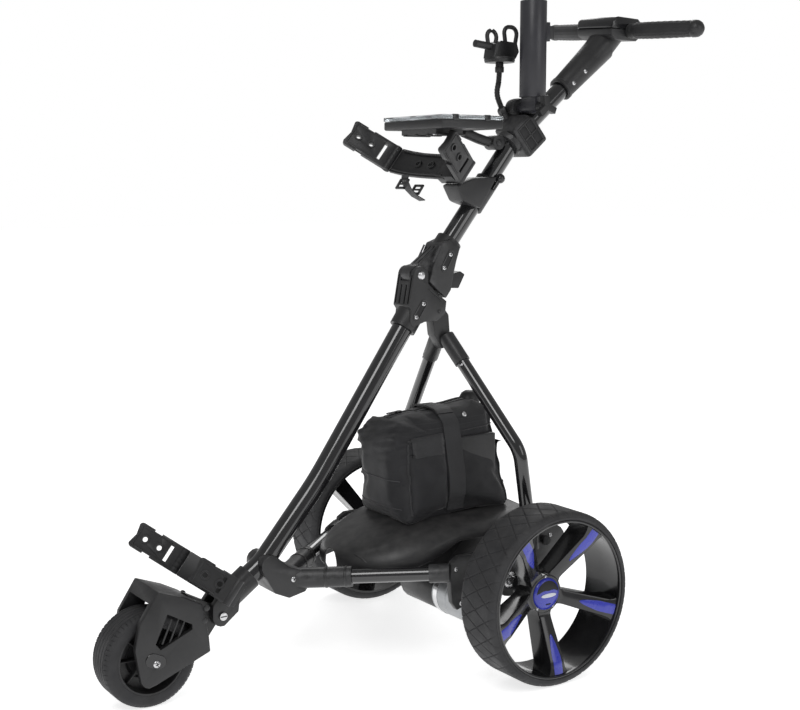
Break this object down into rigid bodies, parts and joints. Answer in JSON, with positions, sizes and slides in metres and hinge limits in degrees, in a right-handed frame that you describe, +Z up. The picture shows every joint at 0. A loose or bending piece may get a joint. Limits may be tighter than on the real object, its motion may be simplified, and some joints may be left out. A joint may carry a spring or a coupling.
{
  "type": "electric golf trolley",
  "caption": "Three-wheeled electric golf trolley with folding handle, battery bag, motor, bag brackets, score-card tray, umbrella holder and phone cradle.",
  "frame": {"origin": "on the ground under the middle of the trolley's overall box", "axes": "+Z up, the trolley drives towards -X, its left side is -Y"},
  "size_m": [1.0578, 0.614, 1.095],
  "materials": {
    "tubes": "gloss black coating",
    "castings": "satin black",
    "plastics": "fine moulded grain",
    "wheel_rims": "satin gloss black",
    "tyres": "matt",
    "grips": "soft matt",
    "blue_trim": "semi-gloss",
    "bag_fabric": "woven nylon",
    "zinc_steel": "zinc plated",
    "motor_shell": "satin silver",
    "gear_bronze": "machined",
    "clear_lid": "clear",
    "circuit_board": "lacquered"
  },
  "bodies": {
    "frame": {"lower_tube": "tubes", "front_clevis": "castings", "fork_bolt": "zinc_steel", "chassis_yoke": "castings", "left_side_tube": "tubes", "right_side_tube": "tubes", "left_axle_bracket": "castings", "right_axle_bracket": "castings", "left_bearing": "zinc_steel", "right_bearing": "zinc_steel", "left_stay": "tubes", "right_stay": "tubes", "stay_crotch": "castings", "lower_hinge_casting": "castings", "hinge_pin": "zinc_steel", "drive_cover": "plastics", "gearbox_casing": "castings", "motor_can": "motor_shell", "battery_bag": "bag_fabric", "battery_pack": "plastics", "lower_bracket_block": "plastics"},
    "lower_left_arm": {"lower_left_arm": "plastics"},
    "lower_right_arm": {"lower_right_arm": "plastics"},
    "fork": {"front_fork": "plastics", "front_axle": "zinc_steel"},
    "front_wheel": {"front_tyre": "tyres", "front_rim": "wheel_rims"},
    "drive_axle": {"rear_axle": "zinc_steel", "drive_gear": "gear_bronze", "left_tyre": "tyres", "right_tyre": "tyres", "left_rim": "wheel_rims", "right_rim": "wheel_rims", "left_hub_cap": "blue_trim", "right_hub_cap": "blue_trim"},
    "rotor": {"motor_rotor": "zinc_steel"},
    "handle": {"upper_tube": "tubes", "upper_hinge_casting": "castings", "upper_bracket_block": "plastics", "upper_saddle": "plastics", "accessory_clamp": "plastics", "gooseneck": "grips", "handle_stem": "plastics", "console_base": "plastics", "console_cover": "plastics", "controller_board": "circuit_board", "left_grip": "grips", "right_grip": "grips"},
    "fold_latch": {"fold_latch": "plastics"},
    "bracket_knob": {"bracket_knob": "plastics"},
    "upper_left_arm": {"upper_left_arm": "plastics"},
    "upper_right_arm": {"upper_right_arm": "plastics"},
    "tray": {"scorecard_tray": "plastics"},
    "tray_lid": {"tray_lid": "clear_lid"},
    "umbrella_holder": {"umbrella_tube": "plastics"},
    "wing_knob": {"wing_knob": "plastics"},
    "umbrella_screw": {"umbrella_screw": "plastics"},
    "phone_cradle": {"phone_cradle": "plastics"},
    "speed_dial": {"speed_dial": "blue_trim"},
    "power_button": {"power_button": "blue_trim"}
  },
  "joints": [
    {"name": "main_fold", "type": "hinge", "parent": "frame", "child": "handle", "pos_m": [0.0406, 0, 0.634], "axis": [0, -1, 0], "range_deg": [0, 125]},
    {"name": "fold_latch_pull", "type": "hinge", "parent": "handle", "child": "fold_latch", "pos_m": [0.1046, 0, 0.62], "axis": [0, -1, 0], "range_deg": [0, 20], "stiffness_Nm_per_rad": 0.3},
    {"name": "fork_fold", "type": "hinge", "parent": "frame", "child": "fork", "pos_m": [-0.3334, 0, 0.119], "axis": [0, -1, 0], "range_deg": [0, 90]},
    {"name": "front_wheel_spin", "type": "hinge", "parent": "fork", "child": "front_wheel", "pos_m": [-0.4548, 0, 0.0741], "axis": [0, -1, 0], "continuous": true},
    {"name": "axle_spin", "type": "hinge", "parent": "frame", "child": "drive_axle", "pos_m": [0.1126, 0, 0.14], "axis": [0, -1, 0], "continuous": true},
    {"name": "rotor_spin", "type": "hinge", "parent": "frame", "child": "rotor", "pos_m": [0.0626, 0, 0.106], "axis": [0, -1, 0], "continuous": true},
    {"name": "upper_left_arm_swing", "type": "hinge", "parent": "handle", "child": "upper_left_arm", "pos_m": [0.119, -0.033, 0.7988], "axis": [0.6212, 0, 0.7837], "range_deg": [-5, 40]},
    {"name": "upper_right_arm_swing", "type": "hinge", "parent": "handle", "child": "upper_right_arm", "pos_m": [0.0908, 0.148, 0.8212], "axis": [0.6212, 0, 0.7837], "range_deg": [-30, 30]},
    {"name": "lower_left_arm_swing", "type": "hinge", "parent": "frame", "child": "lower_left_arm", "pos_m": [-0.331, -0.051, 0.1622], "axis": [0.6157, 0, 0.788], "range_deg": [0, 75]},
    {"name": "lower_right_arm_swing", "type": "hinge", "parent": "frame", "child": "lower_right_arm", "pos_m": [-0.3673, 0.062, 0.1905], "axis": [0.6157, 0, 0.788], "range_deg": [-30, 30]},
    {"name": "bracket_knob_pull", "type": "slide", "parent": "handle", "child": "bracket_knob", "axis": [0.6235, 0, 0.7818], "range_m": [0, 0.006], "stiffness_N_per_m": 150},
    {"name": "tray_tilt", "type": "hinge", "parent": "handle", "child": "tray", "pos_m": [0.2106, 0, 0.856], "axis": [0, 1, 0], "range_deg": [0, 15]},
    {"name": "tray_lid_open", "type": "hinge", "parent": "tray", "child": "tray_lid", "pos_m": [0.1626, 0, 0.8955], "axis": [0, 1, 0], "range_deg": [0, 80]},
    {"name": "umbrella_tilt", "type": "hinge", "parent": "handle", "child": "umbrella_holder", "pos_m": [0.2741, -0.024, 0.915], "axis": [0, 1, 0], "range_deg": [-25, 15]},
    {"name": "wing_knob_turn", "type": "hinge", "parent": "umbrella_holder", "child": "wing_knob", "pos_m": [0.2741, -0.024, 0.915], "axis": [0, 1, 0], "range_deg": [-180, 180]},
    {"name": "umbrella_screw_turn", "type": "hinge", "parent": "umbrella_holder", "child": "umbrella_screw", "pos_m": [0.2946, -0.028, 1.044], "axis": [1, 0, 0], "range_deg": [-180, 180]},
    {"name": "cradle_swivel", "type": "hinge", "parent": "handle", "child": "phone_cradle", "pos_m": [0.2436, 0.03, 0.994], "axis": [0, 0, 1], "range_deg": [-45, 75]},
    {"name": "speed_dial_turn", "type": "hinge", "parent": "handle", "child": "speed_dial", "pos_m": [0.46197, 0.01059, 1.07716], "axis": [0.0019, -0.0668, 0.9978], "range_deg": [0, 270]},
    {"name": "power_button_press", "type": "slide", "parent": "handle", "child": "power_button", "axis": [-0.0019, 0.0668, -0.9978], "range_m": [0, 0.002], "stiffness_N_per_m": 150}
  ],
  "couplings": [
    {"joint": "rotor_spin", "follows": "axle_spin", "ratio": -3}
  ]
}
